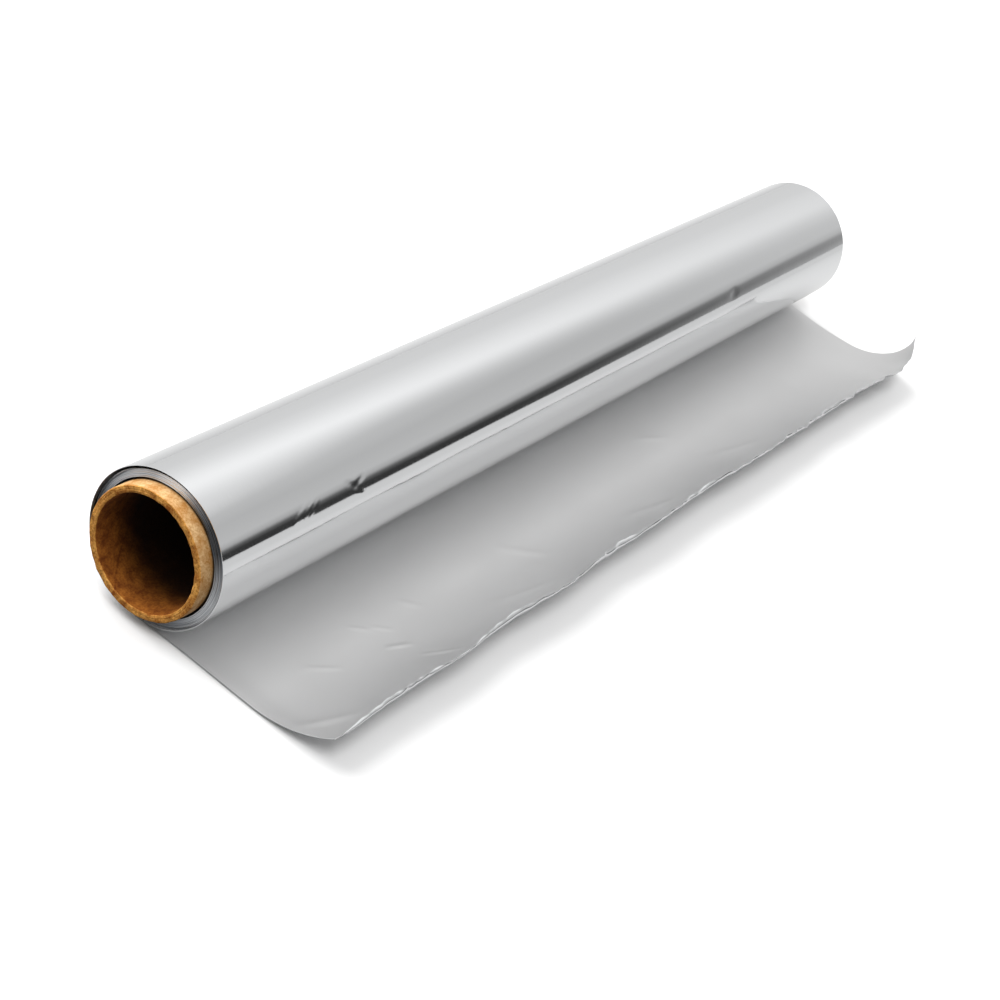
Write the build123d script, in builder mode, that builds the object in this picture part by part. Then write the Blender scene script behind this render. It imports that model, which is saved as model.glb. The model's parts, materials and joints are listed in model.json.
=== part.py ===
from build123d import *
from math import radians, sin, sqrt
import os

# A roll of household aluminium foil, lying on a table with its free end pulled out.
# It has two pieces: the cardboard core, and the foil, whose turns and free end are one sheet.
#
# Millimetres, +Z up. The roll lies along X, with the end that shows more core at -X.
# The sheet leaves the roll where it touches the table and lies towards -Y.
# The origin is on the table, in the middle of the whole object's footprint.

# Driving dimensions: the cardboard core
core_bore = 26.6  # what a holder's rod goes into
core_wall = 1.8
core_out_near = 3.6  # how far the core stands out of the turns at the -X end
core_out_far = 1.4  # and at the +X end
core_rim_round = 0.4  # worn edges of the cut board

# Driving dimensions: the wound foil
foil_width = 300.0  # width of the sheet, so also the length of the wound turns
core_clearance = 0.15  # between the board and the innermost turn, on the radius
wound_depth = 2.95  # from the innermost turn to the outermost
flat_spot = 3.0  # width of the flat that the soft roll has under it

# Driving dimensions: the free end of the sheet
sheet_thickness = 0.25  # as drawn, because the real foil is only about 0.011 thick
sheet_flat = 33.0  # from under the roll's axis to where the sheet starts to curl up
sheet_curl = 24.0  # from there to the cut edge, along the sheet
corner_length = 14.0  # how far in from the +X end the sharply curled corner reaches
curl_near = 42.0  # degrees through which the strip curls up at the -X end,
curl_middle = 53.0  # at half the width,
curl_corner_start = 50.0  # where the sharp corner starts,
curl_far = 78.0  # and at the +X end

# What follows from them
core_radius = core_bore / 2 + core_wall
turns_bore_radius = core_radius + core_clearance
roll_radius = turns_bore_radius + wound_depth
core_length = core_out_near + foil_width + core_out_far
core_near_x = -core_length / 2
foil_near_x = core_near_x + core_out_near
foil_far_x = foil_near_x + foil_width
curl_stations = [
    (foil_near_x, curl_near),
    (foil_near_x + foil_width / 2, curl_middle),
    (foil_far_x - corner_length, curl_corner_start),
    (foil_far_x, curl_far),
]


def curl_radius(angle):
    """Radius of the sheet's underside where the strip curls up through this many degrees."""
    return sheet_curl / radians(angle)


def sheet_reach(angle):
    """How far the sheet reaches from under the roll's axis at a section with this curl."""
    return sheet_flat + curl_radius(angle) * sin(radians(min(angle, 90)))


longest_reach = max(sheet_reach(angle) for _, angle in curl_stations)
roll_y = (longest_reach - roll_radius) / 2
roll_z = sqrt(roll_radius**2 - (flat_spot / 2) ** 2)  # the flat spot lowers the axis a little
near_end = Plane(origin=(foil_near_x, roll_y, roll_z), z_dir=(1, 0, 0))
core_end = Plane(origin=(core_near_x, roll_y, roll_z), z_dir=(1, 0, 0))
table = Plane.XY

# The core: a tube of wound board with worn rims
with BuildPart() as core:
    with BuildSketch(core_end):
        Circle(core_radius)
        Circle(core_bore / 2, mode=Mode.SUBTRACT)
    extrude(amount=core_length)
    fillet(core.edges().filter_by(GeomType.CIRCLE), radius=core_rim_round)

# The foil: the wound turns, flattened where they touch the table, and the free end
with BuildPart() as foil:
    with BuildSketch(near_end):
        Circle(roll_radius)
        Circle(turns_bore_radius, mode=Mode.SUBTRACT)
    extrude(amount=foil_width)
    split(bisect_by=table, keep=Keep.TOP)
    for station_x, angle in curl_stations:
        with BuildSketch(Plane((station_x, roll_y, 0), x_dir=(0, -1, 0), z_dir=(-1, 0, 0))):
            with BuildLine():
                lying = Line((0, 0), (sheet_flat, 0))
                JernArc(lying @ 1, lying % 1, radius=curl_radius(angle), arc_size=angle)
                offset(amount=sheet_thickness, side=Side.LEFT)
            make_face()
    loft(ruled=True)

core.part.label = "core"
foil.part.label = "foil"

os.makedirs("parts", exist_ok=True)
export_step(core.part, "parts/core.step")
export_step(foil.part, "parts/foil.step")

print(f"core {2 * core_radius:.1f} across and {core_length:.1f} long, roll {2 * roll_radius:.1f} across")
print(f"roll axis at y {roll_y:.3f} z {roll_z:.3f}, free sheet reaches {longest_reach:.2f}")
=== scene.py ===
# %% [markdown]
# # A roll of household aluminium foil
# The roll lies on a table with its free end pulled out. It has two materials, kraft board and
# aluminium, and three pieces: the cardboard core, the turns wound on it, and the last turn with
# the free end, which is one long sheet. The CAD model fixes every size and place, and this
# lesson dresses it: each piece is made as a mesh, gets a finish, and is then lit and looked at.
# Everything is in metres, and the roll lies along X.

# %% Load the CAD model
import json
import math

import bmesh
import bpy
from mathutils import Matrix, Vector, noise


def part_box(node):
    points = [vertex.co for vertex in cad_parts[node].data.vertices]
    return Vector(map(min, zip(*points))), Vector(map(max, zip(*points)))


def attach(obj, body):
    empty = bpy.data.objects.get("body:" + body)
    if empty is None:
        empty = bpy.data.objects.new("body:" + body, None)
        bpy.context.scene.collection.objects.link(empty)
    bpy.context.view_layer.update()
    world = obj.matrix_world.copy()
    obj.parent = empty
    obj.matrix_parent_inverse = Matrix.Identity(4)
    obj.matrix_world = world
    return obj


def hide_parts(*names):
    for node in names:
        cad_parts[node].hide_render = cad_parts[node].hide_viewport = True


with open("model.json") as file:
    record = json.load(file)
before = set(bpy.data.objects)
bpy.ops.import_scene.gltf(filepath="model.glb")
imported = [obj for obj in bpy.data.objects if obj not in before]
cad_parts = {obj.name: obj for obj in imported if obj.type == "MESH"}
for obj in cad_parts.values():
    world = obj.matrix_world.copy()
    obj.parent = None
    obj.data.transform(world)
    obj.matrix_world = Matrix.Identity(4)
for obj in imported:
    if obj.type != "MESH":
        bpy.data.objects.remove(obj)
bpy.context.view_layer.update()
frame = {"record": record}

# %% [markdown]
# ## Sizes from the model
# The boxes of the two CAD nodes give the roll's axis, its two radii and its two ends. The bore
# is the one size that a box can't give, so it comes from the record's mount.

# %% Read the roll's sizes
MM = 0.001

core_low, core_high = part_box("core")
foil_low, foil_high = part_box("foil")
mounts = {mount["name"]: mount for mount in frame["record"]["mounts"]}

axis_y = (core_low.y + core_high.y) / 2
axis_z = (core_low.z + core_high.z) / 2
core_radius = (core_high.y - core_low.y) / 2
bore_radius = mounts["core_bore"]["dims"]["r_mm"] * MM
roll_radius = foil_high.y - axis_y
near_end, far_end = foil_low.x, foil_high.x
foil_width = far_end - near_end
print("roll radius", round(roll_radius / MM, 2), "core radius", round(core_radius / MM, 2), "mm")

# %% [markdown]
# ## Helpers
# Designers name a colour by its hex code, which is in sRGB. Blender's shaders add up light, so
# they need linear numbers, and one function turns the first into the second. Some ramps here
# have no colour and are written as plain brightness. A node could be made in four or five lines
# each time; one function that takes its settings and links makes it in one, which keeps a
# finish short enough to read as a recipe.

# %% Colours and shader nodes
def colour(hex_code):
    """The linear red, green, blue and alpha of a #RRGGBB colour."""
    parts = [int(hex_code[i : i + 2], 16) / 255 for i in (1, 3, 5)]
    linear = [c / 12.92 if c <= 0.04045 else ((c + 0.055) / 1.055) ** 2.4 for c in parts]
    return (*linear, 1.0)


def grey(level):
    """A neutral colour of that brightness, where 1 is paper white."""
    return (level, level, level, 1.0)


def grey_ramp(levels):
    """A colour ramp's stops for pairs of place and brightness."""
    return {"stops": tuple((place, grey(level)) for place, level in levels)}


def add_node(tree, kind, settings=None, links=None):
    """A new node. A setting is an input's value, an option, or a colour ramp's stops."""
    node = tree.nodes.new("ShaderNode" + kind)
    for name, value in (settings or {}).items():
        if name == "stops":
            ramp = node.color_ramp.elements
            ramp[0].position, ramp[0].color = value[0]
            ramp[1].position, ramp[1].color = value[-1]
            for place, shade in value[1:-1]:
                ramp.new(place).color = shade
        elif isinstance(name, int) or name in node.inputs:
            node.inputs[name].default_value = value
        else:
            setattr(node, name, value)
    for name, source in (links or {}).items():
        tree.links.new(source, node.inputs[name])
    return node


def new_finish(name, roughness, metallic=0.0):
    """A new material, its node tree and its main shader."""
    finish = bpy.data.materials.new(name)
    finish.use_nodes = True
    shader = finish.node_tree.nodes["Principled BSDF"]
    shader.inputs["Roughness"].default_value = roughness
    shader.inputs["Metallic"].default_value = metallic
    return finish, finish.node_tree, shader


# %% [markdown]
# ## Kraft board
# The core is wound from strips of brown kraft paper, glued one over another on a mandrel. That
# gives the eye a dull, sandy face with short darker fibres lying any way, a seam that climbs
# round the tube, and a cut rim where the strips show as rings. The three faces of the board
# are one recipe with other colours: the outer strip is the palest, the cut rim is brown and
# rough, and the strip inside the bore is the darkest. Painted shade darkens the outside under
# the foil, so that the gap between the core and the turns looks black, and the inside of the
# bore is painted darker away from its mouths, as shade deep in the tube.

# %% Kraft board finishes
FIBRE_WIDTH = 0.5 * MM
FIBRE_CLUMP = 2.5 * MM
PLY = 0.36 * MM  # thickness of one strip of the board
SEAM_RISE = 78 * MM  # how far the seam climbs along the tube in one turn
SEAM_SHARE = 0.004  # half the seam's width, as a share of its rise
SEAM_SHADE = 0.06  # how much darker the seam is, on the scale of the fibres' pattern


def kraft_board(name, shades, roughness, relief, painted_shade, ringed=False):
    """Bare brown board in two shades, with fibres that stand up by relief.

    The painted shade is a distance from the roll's middle, one where that shade ends, and how
    much of the board's light is left at the first.
    """
    dark_at, shade_ends_at, light_left = painted_shade
    finish, tree, shader = new_finish(name, roughness)
    shader.inputs["Specular IOR Level"].default_value = 0.3
    place = add_node(tree, "TexCoord").outputs["Object"]
    centre = {"Location": (0, -axis_y, -axis_z)}
    centred = add_node(tree, "Mapping", centre, {"Vector": place}).outputs["Vector"]
    grain = {"Scale": 1 / FIBRE_WIDTH, "Detail": 4.0, "Roughness": 0.65}
    fibres = add_node(tree, "TexNoise", grain, {"Vector": centred}).outputs["Fac"]
    clump = {"Scale": 1 / FIBRE_CLUMP, "Detail": 3.0}
    clumps = add_node(tree, "TexNoise", clump, {"Vector": centred}).outputs["Fac"]
    mixed = add_node(tree, "Math", {"operation": "MULTIPLY"}, {0: fibres, 1: clumps}).outputs[0]

    # The seam: where the share of a turn, plus the share of the rise, comes to a whole number.
    parts = add_node(tree, "SeparateXYZ", None, {"Vector": centred}).outputs
    angle = add_node(tree, "Math", {"operation": "ARCTAN2"}, {0: parts["Y"], 1: parts["Z"]})
    turn = add_node(tree, "Math", {"operation": "DIVIDE", 1: math.tau}, {0: angle.outputs[0]})
    climb = {"operation": "MULTIPLY_ADD", 1: 1 / SEAM_RISE}
    climbed = add_node(tree, "Math", climb, {0: parts["X"], 2: turn.outputs[0]}).outputs[0]
    share = add_node(tree, "Math", {"operation": "FRACT"}, {0: climbed}).outputs[0]
    at_seam = {"operation": "COMPARE", 1: 0.5, 2: SEAM_SHARE}
    seam = add_node(tree, "Math", at_seam, {0: share}).outputs[0]
    darker = {"operation": "MULTIPLY_ADD", 1: -SEAM_SHADE}
    seamed = add_node(tree, "Math", darker, {0: seam, 2: mixed}).outputs[0]

    stops = ((0.14, colour(shades[0])), (0.38, colour(shades[1])))
    tint = add_node(tree, "ValToRGB", {"stops": stops}, {"Fac": seamed}).outputs["Color"]
    off_middle = add_node(tree, "Math", {"operation": "ABSOLUTE"}, {0: parts["X"]}).outputs[0]
    fade = {"From Min": dark_at, "From Max": shade_ends_at, "To Min": light_left}
    fade["interpolation_type"] = "SMOOTHSTEP"
    light = add_node(tree, "MapRange", fade, {"Value": off_middle}).outputs["Result"]
    darken = {"operation": "SCALE"}
    shade = add_node(tree, "VectorMath", darken, {0: tint, "Scale": light}).outputs["Vector"]
    tree.links.new(shade, shader.inputs["Base Color"])
    height = seamed
    if ringed:
        across = add_node(tree, "CombineXYZ", None, {"Y": parts["Y"], "Z": parts["Z"]})
        length = {"operation": "LENGTH"}
        radius = add_node(tree, "VectorMath", length, {0: across.outputs["Vector"]})
        rings = {"noise_dimensions": "1D", "Scale": 1 / PLY, "Detail": 1.0}
        plies = add_node(tree, "TexNoise", rings, {"W": radius.outputs["Value"]}).outputs["Fac"]
        height = add_node(tree, "Math", {"operation": "ADD"}, {0: seamed, 1: plies}).outputs[0]
    bump = add_node(tree, "Bump", {"Distance": relief}, {"Height": height}).outputs["Normal"]
    tree.links.new(bump, shader.inputs["Normal"])
    return finish


# Painted shade: the outside is painted dark under the foil, so that the gap between the core and
# the turns looks black, and the bore is painted darker away from its mouths, as shade deep in the
# tube. The rim has none.
painted_gap_shade = (-near_end - 0.7 * MM, -near_end, 0.1)
unshaded = (0.0, 1 * MM, 1.0)
painted_bore_shade = (core_high.x - 14 * MM, core_high.x + 1 * MM, 0.05)
outer_shades = ("#B98040", "#E6C08C")
rim_shades = ("#945218", "#F6B65E")
inner_shades = ("#6E3712", "#B06C2A")
board_outside = kraft_board("kraft_board_outside", outer_shades, 0.75, 0.08 * MM, painted_gap_shade)
board_rim = kraft_board("kraft_board_cut_rim", rim_shades, 0.9, 0.2 * MM, unshaded, ringed=True)
board_bore = kraft_board("kraft_board_bore", inner_shades, 0.85, 0.08 * MM, painted_bore_shade)
print("made", board_outside.name, board_rim.name, "and", board_bore.name)

# %% [markdown]
# ## Rolled aluminium
# Foil is rolled two sheets at a time. The side that meets the polished steel rolls comes out
# bright, almost a mirror, and the side that meets the other sheet comes out matte. Both keep
# fine lines along the rolling direction, which blur a reflection across the width. A map on
# the sheet holds each point's place on the flat foil, in metres, so that the lines follow the
# sheet round the roll. A metal has no colour of its own but its reflection's tint, so the
# base is a very pale cool grey and the shader is fully metallic.

# %% Foil finishes
FLAT_MAP = "flat_foil"
LINE_SPACING = 0.4 * MM  # the real lines are finer, and would be lost in a render
LINE_LENGTH = 45 * MM
PATCH = 28 * MM
WEAR = 0.25  # how much smoother or rougher a patch is, as a share of the roughness


def rolled_foil(name, shade, roughness, relief):
    """One side of the foil, with rolling lines that stand up by relief."""
    finish, tree, shader = new_finish(name, roughness, metallic=1.0)
    shader.inputs["Base Color"].default_value = colour(shade)
    flat = add_node(tree, "UVMap", {"uv_map": FLAT_MAP}).outputs["UV"]
    stretch = {"Scale": (1 / LINE_SPACING, 1 / LINE_LENGTH, 1.0)}
    drawn = add_node(tree, "Mapping", stretch, {"Vector": flat}).outputs["Vector"]
    lines = add_node(tree, "TexNoise", {"Scale": 1.0, "Detail": 3.0}, {"Vector": drawn})
    bump = add_node(tree, "Bump", {"Distance": relief}, {"Height": lines.outputs["Fac"]})
    tree.links.new(bump.outputs["Normal"], shader.inputs["Normal"])
    patches = add_node(tree, "TexNoise", {"Scale": 1 / PATCH}, {"Vector": flat}).outputs["Fac"]
    spread = {"To Min": roughness * (1 - WEAR), "To Max": roughness * (1 + WEAR)}
    worn = add_node(tree, "MapRange", spread, {"Value": patches}).outputs["Result"]
    tree.links.new(worn, shader.inputs["Roughness"])
    return finish


bright_side = rolled_foil("rolled_aluminium_bright_side", "#EFF0F1", 0.07, 0.004 * MM)
matte_side = rolled_foil("rolled_aluminium_matte_side", "#E7E7E7", 0.56, 0.010 * MM)
print("made", bright_side.name, "and", matte_side.name)

# %% [markdown]
# ## The roll's ends
# At the ends the eye sees the cut edges of some 260 turns. They are too fine to tell apart, and
# they look like a brushed metal ring: grey, with faint lines round the axis. Round the axis the
# ring is painted darker and lighter by turns, as painted shade and painted highlight for how a
# brushed ring mirrors the room. The lines could be real steps, but 260 of them would be far too
# many faces, so a one-dimensional noise over the distance from the axis draws them, about ten
# times as coarse as the foil so that they show.

# %% Finish of the turns' edges
TURN_LINE = 0.12 * MM
# Painted shade round the end face, from under the roll past the free end's side, the top (0.5)
# and the back: the higher the number, the darker the ring is painted there, and the lower, the
# lighter, as a painted highlight.
END_PAINTED_SHADE = ((0.0, 0.7), (0.11, 0.6), (0.17, 0.42), (0.22, 0.4), (0.28, 0.55), (0.34, 0.86))
END_PAINTED_SHADE += ((0.39, 0.88), (0.44, 0.68), (0.5, 0.05), (0.56, 0.4), (0.61, 0.36), (0.67, 0.5))
END_PAINTED_SHADE += ((0.72, 0.72), (1.0, 0.7))


def turn_edges():
    """The cut edges of the wound turns, seen from the end of the roll."""
    finish, tree, shader = new_finish("rolled_aluminium_turn_edges", 0.42, metallic=1.0)
    place = add_node(tree, "TexCoord").outputs["Object"]
    centre = {"Location": (0, -axis_y, -axis_z)}
    centred = add_node(tree, "Mapping", centre, {"Vector": place}).outputs["Vector"]
    parts = add_node(tree, "SeparateXYZ", None, {"Vector": centred}).outputs
    across = add_node(tree, "CombineXYZ", None, {"Y": parts["Y"], "Z": parts["Z"]})
    length = {"operation": "LENGTH"}
    radius = add_node(tree, "VectorMath", length, {0: across.outputs["Vector"]})
    rings = {"noise_dimensions": "1D", "Scale": 1 / TURN_LINE, "Detail": 2.0}
    lines = add_node(tree, "TexNoise", rings, {"W": radius.outputs["Value"]}).outputs["Fac"]
    # The ring's colour is painted darker or lighter round the axis: painted shade and highlight.
    angle = add_node(tree, "Math", {"operation": "ARCTAN2"}, {0: parts["Y"], 1: parts["Z"]})
    turn = {"From Min": -math.pi, "From Max": math.pi}
    share = add_node(tree, "MapRange", turn, {"Value": angle.outputs[0]}).outputs["Result"]
    painted_end_shade = add_node(tree, "ValToRGB", grey_ramp(END_PAINTED_SHADE), {"Fac": share}).outputs["Color"]
    raised = add_node(tree, "Math", {"operation": "ADD", 1: 0.5}, {0: lines}).outputs[0]
    slack = add_node(tree, "Math", {"operation": "SUBTRACT"}, {0: raised, 1: painted_end_shade}).outputs[0]
    stops = ((0.1, colour("#2E3338")), (0.45, colour("#8E9297")), (0.85, colour("#E4E6E8")))
    tint = add_node(tree, "ValToRGB", {"stops": stops}, {"Fac": slack}).outputs["Color"]
    tree.links.new(tint, shader.inputs["Base Color"])
    bump = add_node(tree, "Bump", {"Distance": 0.06 * MM}, {"Height": lines}).outputs["Normal"]
    tree.links.new(bump, shader.inputs["Normal"])
    return finish


turn_edge_finish = turn_edges()
print("made", turn_edge_finish.name)

# %% [markdown]
# ## From a bmesh to a piece
# A bmesh is a mesh that is still being worked on. When its shape is done, it becomes a mesh with
# its finishes and an object on the roll's one body. Its faces are shaded smooth. An edge is
# marked sharp where its two faces turn by more than 50 degrees, so that the light breaks at a
# cut and runs on over a curve; the angle decides this for every piece alike.

# %% Finished pieces
SHARP = math.radians(50)


def new_piece(name, bm, finishes):
    """Makes a bmesh into a piece, smooth but for its sharp edges, that rides on the roll."""
    for face in bm.faces:
        face.smooth = True
    for edge in bm.edges:
        edge.smooth = edge.calc_face_angle(0.0) < SHARP
    mesh = bpy.data.meshes.new(name)
    bm.to_mesh(mesh)
    bm.free()
    for finish in finishes:
        mesh.materials.append(finish)
    piece = bpy.data.objects.new(name, mesh)
    bpy.context.scene.collection.objects.link(piece)
    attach(piece, "root")
    mesh.calc_loop_triangles()
    print(name, "has", len(mesh.loop_triangles), "triangles")
    return piece


# %% [markdown]
# ## A wall round the axis
# The core and the wound turns are both a thick wall of revolution. A bmesh rectangle is the
# wall's section; its corners are bevelled, its sides are cut up where the surface will be
# worked on, and a full spin round the roll's axis closes it. A narrow strip behind each
# corner keeps the corner's smooth shading from running down the whole tube. The spin may leave
# the faces pointing inwards, so the normals are worked out again at the end.

# %% A spun wall
END_STRIP = 0.3 * MM


def spun_wall(ends, radii, corner, cuts_along, cuts_across, steps):
    """A tube round the roll's axis, from one end to the other and between two radii."""
    bm = bmesh.new()
    section = [(ends[0], radii[0]), (ends[0], radii[1]), (ends[1], radii[1]), (ends[1], radii[0])]
    corners = [bm.verts.new((x, axis_y, axis_z + radius)) for x, radius in section]
    bm.faces.new(corners)
    if corner:
        bmesh.ops.bevel(
            bm,
            geom=corners,
            offset=corner,
            affect="VERTICES",
            segments=3,
            profile=0.5,
            material=-1,
        )
    bmesh.ops.delete(bm, geom=bm.faces[:], context="FACES_ONLY")
    for place in (ends[0] + corner + END_STRIP, ends[1] - corner - END_STRIP):
        whole = bm.verts[:] + bm.edges[:]
        bmesh.ops.bisect_plane(bm, geom=whole, plane_co=(place, 0, 0), plane_no=(1, 0, 0))
    # Edges much longer than the wall is thick run along the tube, and the others cross its ends
    wall = radii[1] - radii[0]
    along = [edge for edge in bm.edges if edge.calc_length() > 2 * wall]
    across = [edge for edge in bm.edges if wall / 3 < edge.calc_length() < 2 * wall]
    bmesh.ops.subdivide_edges(bm, edges=along, cuts=cuts_along)
    bmesh.ops.subdivide_edges(bm, edges=across, cuts=cuts_across)
    bmesh.ops.spin(
        bm,
        geom=bm.verts[:] + bm.edges[:],
        cent=(0, axis_y, axis_z),
        axis=(1, 0, 0),
        angle=math.tau,
        steps=steps,
        use_merge=True,
    )
    bmesh.ops.recalc_face_normals(bm, faces=bm.faces[:])
    return bm


def outward(point):
    """The direction from the roll's axis to a point, square to the axis."""
    return Vector((0, point.y - axis_y, point.z - axis_z)).normalized()


def radius_of(point):
    """How far a point is from the roll's axis."""
    return math.hypot(point.y - axis_y, point.z - axis_z)


# %% [markdown]
# ## The core
# The tube was sawn to length, so its rims are a little frayed: the paper swells and stands up
# unevenly by a tenth of a millimetre or two. The rim is cut up into small faces and each of
# its points is pushed by a smooth noise, more along the tube than across it.

# %% Make the core tube
RIM_ROUND = 0.4 * MM
FRAY = 0.22 * MM
FRAY_SIZE = 1.3 * MM
RIM_DEPTH = 0.7 * MM  # how far from the cut the fraying reaches
FACING = 0.75  # how squarely a face looks out or in, at least, to be a side and not the rim

core_bm = spun_wall(
    (core_low.x, core_high.x),
    (bore_radius, core_radius),
    corner=RIM_ROUND,
    cuts_along=56,
    cuts_across=7,
    steps=160,
)
for vert in core_bm.verts:
    depth = min(vert.co.x - core_low.x, core_high.x - vert.co.x)
    if depth < RIM_DEPTH:
        swell = FRAY * (1 - depth / RIM_DEPTH)
        side = 1 if vert.co.x < 0 else -1
        vert.co.x += side * swell * (0.5 + noise.noise(vert.co / FRAY_SIZE))
        sideways = noise.noise(vert.co / FRAY_SIZE + Vector((9, 0, 0)))
        vert.co += outward(vert.co) * swell * 0.5 * sideways

for face in core_bm.faces:
    looks_out = face.normal.dot(outward(face.calc_center_median()))
    if looks_out > FACING:
        face.material_index = 0
    elif looks_out < -FACING:
        face.material_index = 2
    else:
        face.material_index = 1

core_tube = new_piece("core_tube", core_bm, [board_outside, board_rim, board_bore])

# %% [markdown]
# ## The wound turns
# All the turns but the last are one ring on the core. The winding machine never lays them
# exactly flush, so the ring's end faces are cut into narrow bands, and each band is set back
# by its own small amount, which changes a little round the roll. The inner turns also stand out
# a little further than the outer ones, which makes each end a flat cone. The last turn is slack:
# it stands off the ring by up to 0.8 mm, most on the top away from the free end and least at the
# bottom. Between its ends the ring is drawn in by a further third of a millimetre, so that the
# last turn can be dented without meeting it. The turns could be made as a spiral of one sheet,
# but only their edges can be seen, and a ring shows those just as well.

# %% Make the ring of turns
CORE_CLEARANCE = 0.55 * MM
LAST_TURN_SPACE = 0.12 * MM  # on the radius, where the last turn is tight
LAST_TURN_SLACK = 0.7 * MM  # more than that, where it is slackest
SLACKEST = math.radians(40)  # from the top, away from the free end
INNER_TURNS = 1 * MM  # above the core, where the wind stays round
WAIST = 0.35 * MM
WAIST_REACH = 6 * MM  # from the ends, where the ring isn't drawn in
STEP_BACK = 0.28 * MM
CONE = 0.7 * MM  # how much further back the outermost turns end than the innermost
BANDS = 15
BAND_WIDTH = 0.3 * MM
BAND_CHANGES = 3  # how often a band's step changes round the roll, roughly
END_FACE = 0.01 * MM  # points closer than this to the cut are on the end face

turns_bm = spun_wall(
    (near_end, far_end),
    (core_radius + CORE_CLEARANCE, roll_radius - LAST_TURN_SPACE),
    corner=0,
    cuts_along=62,
    cuts_across=BANDS,
    steps=200,
)
for vert in turns_bm.verts:
    radius = radius_of(vert.co)
    depth = min(vert.co.x - near_end, far_end - vert.co.x)
    side = 1 if vert.co.x < 0 else -1
    away = outward(vert.co)
    if depth < END_FACE:
        band = Vector((radius / BAND_WIDTH, BAND_CHANGES * away.y, BAND_CHANGES * away.z))
        share = (radius - core_radius) / (roll_radius - core_radius)
        vert.co.x += side * (STEP_BACK * (0.5 + 0.5 * noise.noise(band)) + CONE * share)
    round_radius = core_radius + INNER_TURNS
    if radius > round_radius:
        slack = 0.5 + 0.5 * math.cos(math.atan2(away.y, away.z) - SLACKEST)
        share = (radius - round_radius) / (roll_radius - round_radius)
        vert.co -= away * LAST_TURN_SLACK * slack * share
        if depth > WAIST_REACH:
            vert.co -= away * WAIST

wound_turns = new_piece("wound_turns", turns_bm, [turn_edge_finish])

# %% [markdown]
# ## The last turn and the free end
# This is one sheet of foil. It starts under the roll, goes once round it, and leaves it where
# it touches the table. The free end lies flat for 33 mm and then curls up, because the foil
# remembers the roll. The easiest way to make it is the way it happens: a flat grid is cut to
# size, each point keeps its place on the flat sheet in a map, and then every point is moved to
# where that part of the sheet lies.
#
# A grid has even rows and columns. More of them are needed where the sheet has small dents
# and at the cut edge, and fewer where it is smooth, so the grid is first drawn out unevenly.

# %% The flat sheet
FREE_FLAT = 33 * MM  # from the table contact to where the sheet starts to curl
FREE_CURL = 25 * MM  # from there to the cut edge, along the sheet
OVERLAP = 4 * MM  # of the last turn beyond a full turn, under the roll
FOIL_DRAWN = 0.08 * MM  # the real foil is about 0.011 mm thick
TURN_PITCH = 0.1 * MM  # how much further out the last turn lies at its start than at its end
COLUMNS, ROWS = 268, 178

free_length = FREE_FLAT + FREE_CURL
turn_length = math.tau * roll_radius
sheet_start = -(turn_length + OVERLAP)

# Share of the columns, and how far across the foil that share ends, in mm
column_stations = [(0.0, 0), (0.06, 21), (0.24, 34), (0.35, 50), (0.4, 62)]
column_stations.append((1.0, foil_width / MM))
# Share of the rows, and where along the sheet that share ends, from the table contact
row_stations = [(0.0, sheet_start), (0.15, -83 * MM), (0.31, -67 * MM), (0.56, 0.0)]
row_stations += [(0.6, 22 * MM), (0.9, free_length - 3.5 * MM)]
row_stations += [(0.945, free_length - 1 * MM), (1.0, free_length)]


def between(value, stations, ease=False):
    """The number that goes with a value, between the two stations beside it."""
    for (low, first), (high, second) in zip(stations, stations[1:]):
        if value <= high:
            break
    share = min(1.0, max(0.0, (value - low) / (high - low)))
    if ease:
        share = share * share * (3 - 2 * share)
    return first + (second - first) * share


sheet_bm = bmesh.new()
bmesh.ops.create_grid(sheet_bm, x_segments=COLUMNS, y_segments=ROWS, size=1.0)
for vert in sheet_bm.verts:
    across = near_end + between((vert.co.x + 1) / 2, column_stations) * MM
    along = between((vert.co.y + 1) / 2, row_stations)
    vert.co = Vector((across, along, 0))

flat_map = sheet_bm.loops.layers.uv.new(FLAT_MAP)
for face in sheet_bm.faces:
    for loop in face.loops:
        loop[flat_map].uv = loop.vert.co.xy

# %% [markdown]
# ### Creases
# A crease is a low ridge or groove: highest on its line, gone within a millimetre or two, and
# fading towards its ends. It matters more than its height says, because a mirror shows the slope
# of a surface and not its height: a scratch of a few hundredths of a millimetre turns a
# reflection by more than ten degrees. A bump in the finish would show the same at a glance, but
# it wouldn't be in the mesh, so the creases are real, and one function makes them all.

# %% Creases
def creased(x, s, creases):
    """The height of the creases at a point. All is in mm, across the foil and along it."""
    height = 0.0
    for x1, s1, x2, s2, high, half in creases:
        run = Vector((x2 - x1, s2 - s1))
        share = Vector((x - x1, s - s1)).dot(run) / run.length_squared
        if 0 < share < 1:
            off = abs((x - x1) * run.y - (s - s1) * run.x) / run.length / half
            height += high * math.exp(-off * off) * math.sin(math.pi * share)
    return height


# %% [markdown]
# ### The roll's surface
# Handling leaves a row of short scratches and a knock near one end of the roll, and a second
# knock far along it. They are ridges and grooves at listed places. The roll is also some
# hundredths of a millimetre thicker or thinner from place to place. Three smooth noises do this:
# wide waves, fine ones, and streaks along the roll, which bend the reflections a little.

# %% Relief of the roll
def round_roll(degrees):
    """How far along the sheet a place on the roll is, in mm, from the top to the free end."""
    return -roll_radius / MM * math.radians(180 + degrees)


# Where each scratch starts and ends, across the foil in mm and round it in degrees
scratches = [(22.6, 63, 30.8, 48), (24.6, 62, 31.6, 50)]
scratches += [(26.4, 62, 32.6, 49), (28.6, 61, 33.0, 52)]
SCRATCH_HEIGHT, SCRATCH_HALF = 0.042, 0.28  # mm

roll_creases = [
    (x1, round_roll(degrees1), x2, round_roll(degrees2), SCRATCH_HEIGHT, SCRATCH_HALF)
    for x1, degrees1, x2, degrees2 in scratches
]
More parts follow.
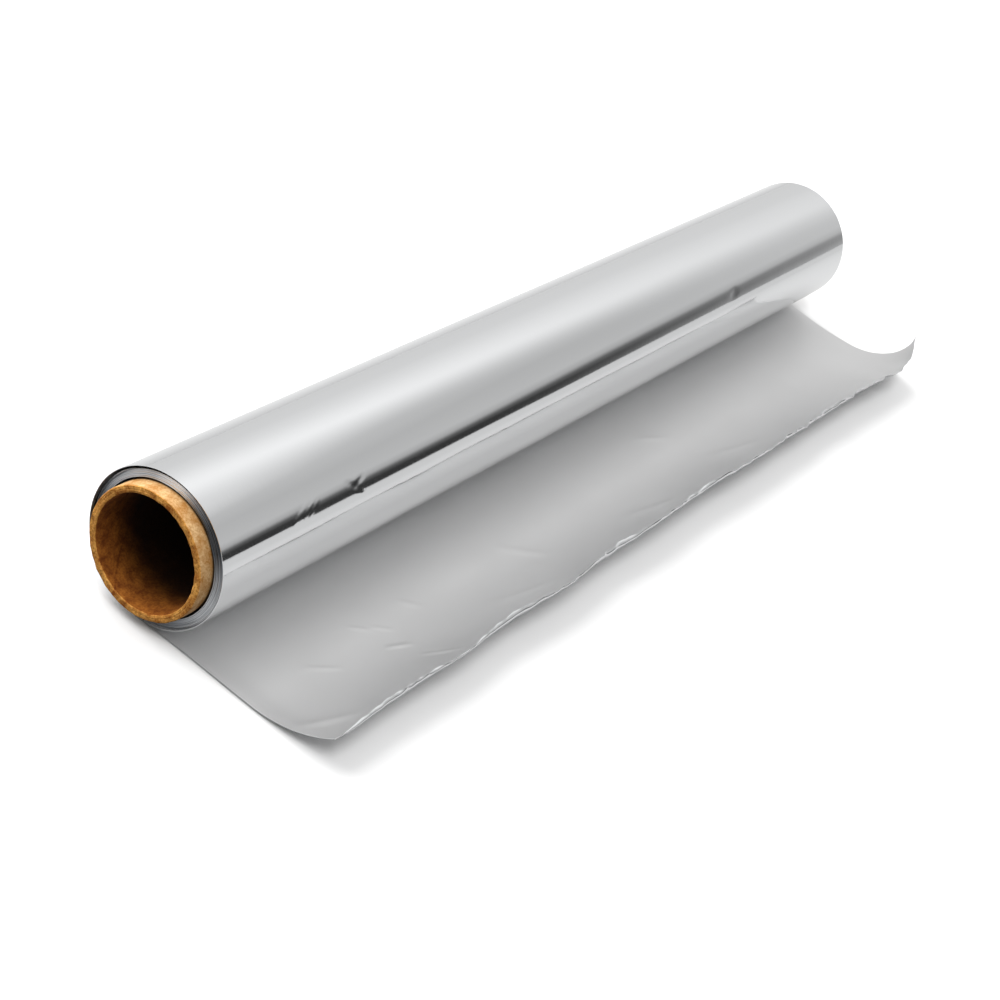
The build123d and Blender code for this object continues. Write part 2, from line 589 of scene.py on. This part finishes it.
# The three grooves of the two knocks, each with its depth and half its width
roll_creases += [
    (42.0, round_roll(49), 49.2, round_roll(65), -0.1, 0.55),
    (43.9, round_roll(58), 49.5, round_roll(51), -0.07, 0.5),
    (224.0, round_roll(59), 229.0, round_roll(53), -0.08, 1.0),
]

# Each wave's size across the foil, size along it and height in mm, and its slice of the noise
roll_waves = [(26, 60, 0.02, 0.0), (7, 18, 0.004, 4.0), (60, 6, 0.035, 9.0)]


def roll_relief(across, along):
    """How far the foil stands out from the round, in metres, on the roll."""
    height = creased((across - near_end) / MM, along / MM, roll_creases)
    for wide, long, high, noise_slice in roll_waves:
        place = Vector((across / (wide * MM), along / (long * MM), noise_slice))
        height += high * noise.noise(place)
    return height * MM


# %% [markdown]
# ### The free end's surface
# Where the foil was pulled out and pressed down it keeps soft waves, short creases and one fold
# at the near corner. Its near side stands up a little from the table. Cloth simulation could
# crumple the sheet, but foil that has been handled keeps only a few marks, so they are placed
# one by one, as on the roll.

# %% Relief of the free end
EDGE_LIFT, EDGE_LIFT_REACH = 0.7, 4.0  # mm, at the near side
SETTLES = 12 * MM  # how far from the table contact the marks have their full height

# Each wave's size across the foil, size along it and height in mm, and its slice of the noise
free_waves = [(34, 13, 0.05, 2.0), (9, 5, 0.012, 7.0)]

# Both ends of each crease, across the foil and along the sheet, then height and half width
free_creases = [
    (39, 28.5, 44, 33.0, 0.14, 0.45),
    (44, 31.5, 49, 36.0, 0.14, 0.45),
    (41, 38.5, 48, 42.0, 0.20, 0.5),
    (57, 29.0, 62, 35.0, 0.18, 0.5),
    (44, 45.5, 51, 54.0, 0.22, 0.6),
    (19, 31.5, 28, 37.5, 0.14, 0.6),
    (97, 30.0, 107, 41.0, 0.22, 0.8),
    (175, 23.5, 187, 29.5, 0.16, 0.8),
    (74, 44.0, 98, 52.0, 0.14, 1.2),
    (136, 43.0, 160, 51.0, 0.14, 1.2),
    (188, 41.0, 214, 49.0, 0.14, 1.4),
    (1, 43.5, 15, 52.5, 0.30, 1.2),
]


def free_relief(across, along):
    """How far the free end stands up from its smooth shape, in metres."""
    x, s = (across - near_end) / MM, along / MM
    height = creased(x, s, free_creases)
    for wide, long, high, noise_slice in free_waves:
        height += high * (1 + noise.noise(Vector((x / wide, s / long, noise_slice))))
    height += EDGE_LIFT * math.exp(-((x / EDGE_LIFT_REACH) ** 2))
    return height * MM * min(1.0, along / SETTLES)


# %% [markdown]
# ### The curl and the cut edge
# Over its last 25 mm the sheet curls up, by 42 degrees at one side and a little more or less
# from place to place. The far corner, which nothing holds, curls most. The foil was torn off on
# a toothed cutter, which leaves its edge crooked and bends it twice: a fold about three
# millimetres wide, then a narrow lip that in places rolls right over and shows the bright side
# as a thin line of light. There is no outline to copy here. The sheet's slope is worked out at
# each point instead, as the sum of the curl, the corner, the waves, the fold and the lip.

# %% The curl, the fold and the lip
# Share of the width, and how many degrees the sheet has curled at its edge
curl_stations = [(0.0, 42), (0.05, 45), (0.2, 48), (0.35, 50), (0.55, 54), (0.75, 51)]
curl_stations += [(0.91, 50), (0.94, 43), (0.965, 48), (1.0, 56)]
CORNER_CURL = 34  # degrees more at the very corner
CORNER_REACH = 13 * MM
FOLD, FOLD_DEGREES = 3.2 * MM, 13
LIP, LIP_DEGREES = 1.6 * MM, 125
LIP_NEAR, LIP_FAR = 0.95, 0.3  # the mean share of the lip's bend, near and far
LIP_LEAST, LIP_MOST = -0.2, 1.25  # the limits of that share
LIP_END = 14 * MM  # the lip dies out over this length before the far corner
FOLDED = 0.6  # the mean share of the fold's bend

# Each wave's size along the edge in mm, its slice of the noise, and its height
curl_waves = [(18, 11.0, 6), (6, 13.0, 4)]  # in degrees
fold_waves = [(24, 3.0, 0.9)]  # as a share of the fold's bend
lip_waves = [(19, 5.0, 0.7), (3.5, 1.0, 0.9)]  # as a share of the lip's bend
lip_width_waves = [(23, 3.0, 0.8)]  # as a share of the lip's width


def waves_along(across, waves):
    """The sum of some smooth random waves at a place along the cut edge."""
    places = [Vector((across / (size * MM), noise_slice, 0.0)) for size, noise_slice, _ in waves]
    return sum(wave[2] * noise.noise(place) for wave, place in zip(waves, places))


def slope(across, along):
    """The angle between the sheet and the table, in radians."""
    if along <= FREE_FLAT:
        return 0.0
    share = (along - FREE_FLAT) / FREE_CURL
    corner = max(0.0, 1 - (far_end - across) / CORNER_REACH)
    degrees = between((across - near_end) / foil_width, curl_stations, ease=True) * share
    degrees += CORNER_CURL * corner**2 * share**2
    degrees += waves_along(across, curl_waves) * share**3
    left = free_length - along
    lip = LIP * (1 + waves_along(across, lip_width_waves))
    if left < FOLD:
        folded = min(1.0, max(0.0, FOLDED + waves_along(across, fold_waves)))
        degrees += FOLD_DEGREES * folded * min(1.0, (FOLD - left) / (FOLD - lip))
    if left < lip:
        bent = between((across - near_end) / foil_width, [(0.0, LIP_NEAR), (1.0, LIP_FAR)])
        bent = min(LIP_MOST, max(LIP_LEAST, bent + waves_along(across, lip_waves)))
        bent *= min(1.0, (far_end - across) / LIP_END)
        degrees += LIP_DEGREES * bent * (1 - left / lip)
    return math.radians(degrees)


# %% [markdown]
# Pulling the foil out drew its far side in by about two millimetres, most of all where it lies
# flat. The cutter's teeth made the edge uneven by a quarter of a millimetre over a few
# centimetres, with smaller steps on top.

# %% The drawn-in side and the torn edge
NECK, NECK_END, NECK_REACH = 2.4 * MM, 48 * MM, 18 * MM
TORN, TORN_SIZE = 0.25 * MM, 17 * MM
TOOTH, TOOTH_SIZE = 0.12 * MM, 2.4 * MM


def drawn_in(across, along):
    """How far the pulled far side is drawn in from the straight, in metres."""
    if along > NECK_END:
        return 0.0
    share = math.exp(-(((far_end - across) / NECK_REACH) ** 2))
    return NECK * share * math.sin(math.pi * along / NECK_END) ** 2


def torn(across):
    """How far the cut edge runs past its mean line, in metres."""
    slow = noise.noise(Vector((across / TORN_SIZE, 0.0, 3.0)))
    fast = noise.noise(Vector((across / TOOTH_SIZE, 0.0, 8.0)))
    return TORN * slow + TOOTH * fast


edge_places = [near_end + x * MM for x in range(0, round(foil_width / MM), 10)]
edge_slopes = [math.degrees(slope(across, free_length)) for across in edge_places]
print("the edge slopes by", round(min(edge_slopes)), "to", round(max(edge_slopes)), "degrees")

# %% [markdown]
# ### Laying the sheet
# On the roll, the distance along the sheet divided by the radius is the angle. On the free
# end there is no formula for the place, only for the slope, so each strip is walked from the
# table contact outwards, one row at a time, with a step in the direction of the slope. That
# keeps every strip at its true length, whatever the slope does. Only the last rows are stretched
# or shortened, to follow the torn edge.

# %% Lay the flat sheet round the roll and along the table
def on_roll(across, along):
    """Where a point of the last turn lies."""
    angle = -along / roll_radius
    radius = roll_radius - TURN_PITCH * angle / math.tau + roll_relief(across, along)
    lowest = 0.0 if angle < math.pi else TURN_PITCH
    height = max(lowest, axis_z - radius * math.cos(angle))
    return Vector((across, axis_y + radius * math.sin(angle), height))


def walk_out(across, rows):
    """Where the points of one strip of the free end lie, from the table contact out."""
    y, z, last = axis_y, 0.0, 0.0
    places = []
    for along in rows:
        angle = slope(across, (along + last) / 2)
        y -= (along - last) * math.cos(angle)
        z += (along - last) * math.sin(angle)
        last = along
        rise = free_relief(across, along)
        x = across - drawn_in(across, along)
        places.append(Vector((x, y + rise * math.sin(angle), z + rise * math.cos(angle))))
    return places


SAME_STRIP = 0.001 * MM  # points closer than this across the foil are in one strip
LAST_ROWS = 8  # the power that keeps the stretching to the last rows

strips = {}
for vert in sheet_bm.verts:
    if vert.co.y < 0:
        vert.co = on_roll(vert.co.x, vert.co.y)
    else:
        strips.setdefault(round(vert.co.x / SAME_STRIP), []).append(vert)
for strip in strips.values():
    strip.sort(key=lambda vert: vert.co.y)
    across = strip[0].co.x
    stretch = torn(across)
    rows = [vert.co.y + stretch * (vert.co.y / free_length) ** LAST_ROWS for vert in strip]
    for vert, place in zip(strip, walk_out(across, rows)):
        vert.co = place
print("laid", len(strips), "strips of the free end")

# %% [markdown]
# ### Two sides
# The grid is the bright side, which faces out on the roll and down on the free end. Solidify
# adds the matte side behind it and closes the edges, so the sheet is one closed skin. A single
# layer with two-sided shading would look the same here, but a skin has a thickness anywhere it
# is used. Solidify goes by the points' normals, so they are worked out first.

# %% Give the sheet its two sides
sheet_bm.normal_update()
bright_verts = set(sheet_bm.verts)
bmesh.ops.solidify(sheet_bm, geom=sheet_bm.faces[:], thickness=FOIL_DRAWN)
for face in sheet_bm.faces:
    if bright_verts.isdisjoint(face.verts):
        face.material_index = 1

outer_sheet = new_piece("outer_sheet", sheet_bm, [bright_side, matte_side])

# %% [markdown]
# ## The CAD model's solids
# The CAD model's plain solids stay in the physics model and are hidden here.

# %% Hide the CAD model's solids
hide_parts("core")
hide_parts("foil")
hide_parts("foil")

# %% [markdown]
# ## The table
# A wide white sweep of paper with no gloss. It lies a hair below the foil, because two
# surfaces at exactly the same height flicker. In a studio such paper is lit until it is nearly
# pure white, while black cards hung round it keep its glare off a polished object. One shade
# can't be both, so the paper has three, chosen by the kind of ray that meets it: white for the
# camera, dark for what bounces on to dull board, and a ramp across the roll for what the foil
# mirrors. Only the stage does this; the roll's own finishes are the same for every ray.

# %% Lay the table
TABLE_REACH = 6.0
HAIR = 0.02 * MM
OVER_EXPOSED = 0.86  # the paper's shade for the camera, which the lamps lift to white
BOUNCE = 0.12  # its shade for the light that comes back on the board
PAPER_SPAN = 1.0  # the ramp runs from this far on the free end's side to as far behind the roll
# PAPER is painted light and shade on the paper that only the foil mirrors: a lit strip about 5 cm
# towards the back, and darker paper further off on either side.
PAPER = ((0.0, 0.38), (0.43, 0.40), (0.525, 0.55), (0.545, 0.5), (0.58, 0.45))
PAPER += ((0.7, 0.4), (1.0, 0.39))

table_bm = bmesh.new()
bmesh.ops.create_circle(table_bm, cap_ends=True, segments=96, radius=TABLE_REACH)
bmesh.ops.translate(table_bm, verts=table_bm.verts, vec=(0, 0, -HAIR))
table_mesh = bpy.data.meshes.new("table")
table_bm.to_mesh(table_mesh)
table_bm.free()
table_finish, table_tree, table_shader = new_finish("white_paper_sweep", 1.0)
table_shader.inputs["Specular IOR Level"].default_value = 0.0
place = add_node(table_tree, "TexCoord").outputs["Object"]
side = add_node(table_tree, "SeparateXYZ", None, {"Vector": place}).outputs["Y"]
across_table = {"From Min": -PAPER_SPAN, "From Max": PAPER_SPAN}
share = add_node(table_tree, "MapRange", across_table, {"Value": side}).outputs["Result"]
paper = add_node(table_tree, "ValToRGB", grey_ramp(PAPER), {"Fac": share}).outputs["Color"]
rays = add_node(table_tree, "LightPath").outputs
# The Mix node's inputs 6 and 7 and its output 2 are its colours
dulled = {"data_type": "RGBA", 7: grey(BOUNCE)}
lit = add_node(table_tree, "Mix", dulled, {0: rays["Is Diffuse Ray"], 6: paper}).outputs[2]
bleached = {"data_type": "RGBA", 7: grey(OVER_EXPOSED)}
shown = add_node(table_tree, "Mix", bleached, {0: rays["Is Camera Ray"], 6: lit}).outputs[2]
table_tree.links.new(shown, table_shader.inputs["Base Color"])
table_mesh.materials.append(table_finish)
table = bpy.data.objects.new("table", table_mesh)
bpy.context.scene.collection.objects.link(table)
print("laid the table", 2 * TABLE_REACH, "m across")

# %% [markdown]
# ## The studio
# Foil shows what stands round it, so a studio for foil is mostly a choice of what it reflects.
# This one is a white room that is dark on one side, the side that the free end points to. Low
# down the dark side is nearly black, and this draws the thin black line along the roll that
# tells the eye that it is polished metal. Walls and cards could be built for it, but a world
# shader that goes by direction alone is simpler and has no edges that need hiding. Two ramps
# give the light by height, one for each side, and a soft step across the room mixes them. The
# step is the same towards both ends of the roll, so the foil looks alike from either end. Dull
# faces get less light from the near end than from the far end. Seen directly, the room is
# plain white.

# %% Light the studio
TOWARDS_WHITE = (0.6, 1.2, -0.8)  # the height tilts the step, so the ceiling is in both
STEP_FROM, STEP_TO = -0.3, 0.2
NEAR_SIDE = 0.2  # how much light dull faces get from the near end, as a share of the far end

# Height of a direction above the table, from 0 at the horizon to 1 overhead, and brightness
WHITE_SIDE = ((0.0, 0.68), (0.30, 0.72), (0.45, 0.8), (0.52, 0.86), (0.64, 1.0), (1.0, 1.05))
DARK_SIDE = ((0.0, 0.03), (0.09, 0.04), (0.15, 0.13), (0.2, 0.42), (0.28, 0.54), (0.5, 0.5))
DARK_SIDE += ((0.62, 0.56), (0.7, 0.76), (1.0, 1.0))

world = bpy.data.worlds.new("studio")
bpy.context.scene.world = world
world.use_nodes = True
room = world.node_tree
room.nodes.clear()
direction = add_node(room, "TexCoord").outputs["Generated"]
parts = add_node(room, "SeparateXYZ", None, {"Vector": direction}).outputs
height = {"Fac": parts["Z"]}
white_side = add_node(room, "ValToRGB", grey_ramp(WHITE_SIDE), height).outputs["Color"]
dark_side = add_node(room, "ValToRGB", grey_ramp(DARK_SIDE), height).outputs["Color"]
along = add_node(room, "Math", {"operation": "ABSOLUTE"}, {0: parts["X"]}).outputs[0]
mirrored = add_node(room, "CombineXYZ", None, {"X": along, "Y": parts["Y"], "Z": parts["Z"]})
either_end = {0: mirrored.outputs["Vector"]}
towards = {"operation": "DOT_PRODUCT", 1: TOWARDS_WHITE}
side = add_node(room, "VectorMath", towards, either_end).outputs["Value"]
step = {"interpolation_type": "SMOOTHSTEP", "From Min": STEP_FROM, "From Max": STEP_TO}
share = add_node(room, "MapRange", step, {"Value": side}).outputs["Result"]
dimming = {"From Min": -1.0, "From Max": 0.0, "To Min": NEAR_SIDE, "To Max": 1.0}
dimmed = add_node(room, "MapRange", dimming, {"Value": parts["X"]}).outputs["Result"]
rays = add_node(room, "LightPath").outputs
undimmed = {0: dimmed, 1: rays["Is Glossy Ray"]}
strength = add_node(room, "Math", {"operation": "MAXIMUM"}, undimmed).outputs[0]
white_links = {"Color": white_side, "Strength": strength}
white_light = add_node(room, "Background", None, white_links).outputs["Background"]
dark_links = {"Color": dark_side, "Strength": strength}
dark_light = add_node(room, "Background", None, dark_links).outputs["Background"]
sides = {0: share, 1: dark_light, 2: white_light}
mixed = add_node(room, "MixShader", None, sides).outputs["Shader"]
backdrop = add_node(room, "Background", {"Color": grey(1.0)}).outputs["Background"]
seen = {0: rays["Is Camera Ray"], 1: mixed, 2: backdrop}
shown = add_node(room, "MixShader", None, seen).outputs["Shader"]
add_node(room, "OutputWorld", None, {"Surface": shown})
print("the room's light is made by", len(room.nodes), "nodes")

# %% [markdown]
# Two soft lamps do what the room can't. The large one stands behind the roll: it whitens the
# table and gives the free end its soft shadow, on the side away from the roll. The small one
# stands beyond the near end and lights the sawn rim and the mouth of the bore. Neither shows in
# the foil. Area lamps would do, but a sun's width in degrees sets how soft a shadow is.

# %% Hang the soft lamps
# Degrees from +X towards +Y, degrees above the table, degrees across, and power
LAMPS = {"key_lamp": (94, 42, 58, 3.0), "rim_lamp": (206, 60, 24, 1.25)}

for name, (towards, height, width, power) in LAMPS.items():
    lamp_data = bpy.data.lights.new(name, "SUN")
    lamp_data.energy = power
    lamp_data.angle = math.radians(width)
    lamp = bpy.data.objects.new(name, lamp_data)
    turn = Matrix.Rotation(math.radians(towards), 4, "Z")
    tip = Matrix.Rotation(math.radians(90 - height), 4, "Y")
    lamp.matrix_world = turn @ tip
    lamp.visible_glossy = False
    bpy.context.scene.collection.objects.link(lamp)
    print("hung", name)

# %% [markdown]
# ## The camera
# A long lens, which keeps the far end large, looks down at the roll from its near end, on the
# side of the free end. The camera is also rolled, so that the roll climbs across the view.
# It is placed by its heading, its pitch and its roll, one turn each, because each of them can
# then be changed alone.

# %% Place the camera
CAMERA_PLACE = (-455.0 * MM, -168.4 * MM, 290.4 * MM)
LOOKS_TOWARDS = 21.63  # degrees from +X towards +Y
LOOKS_DOWN = 32.68  # degrees below level
ROLLED = 24.14  # degrees about its own line of sight
LENS = 77.6  # mm

camera_data = bpy.data.cameras.new("camera")
camera_data.lens = LENS
camera_data.clip_start = 0.01
camera_data.clip_end = 2 * TABLE_REACH
camera = bpy.data.objects.new("camera", camera_data)
heading = Matrix.Rotation(math.radians(LOOKS_TOWARDS - 90), 4, "Z")
pitch = Matrix.Rotation(math.radians(90 - LOOKS_DOWN), 4, "X")
roll = Matrix.Rotation(math.radians(ROLLED), 4, "Z")
camera.matrix_world = Matrix.Translation(CAMERA_PLACE) @ heading @ pitch @ roll
bpy.context.scene.collection.objects.link(camera)
bpy.context.scene.camera = camera
bpy.context.scene.view_settings.view_transform = "Standard"
print("the camera looks down by", LOOKS_DOWN, "degrees")
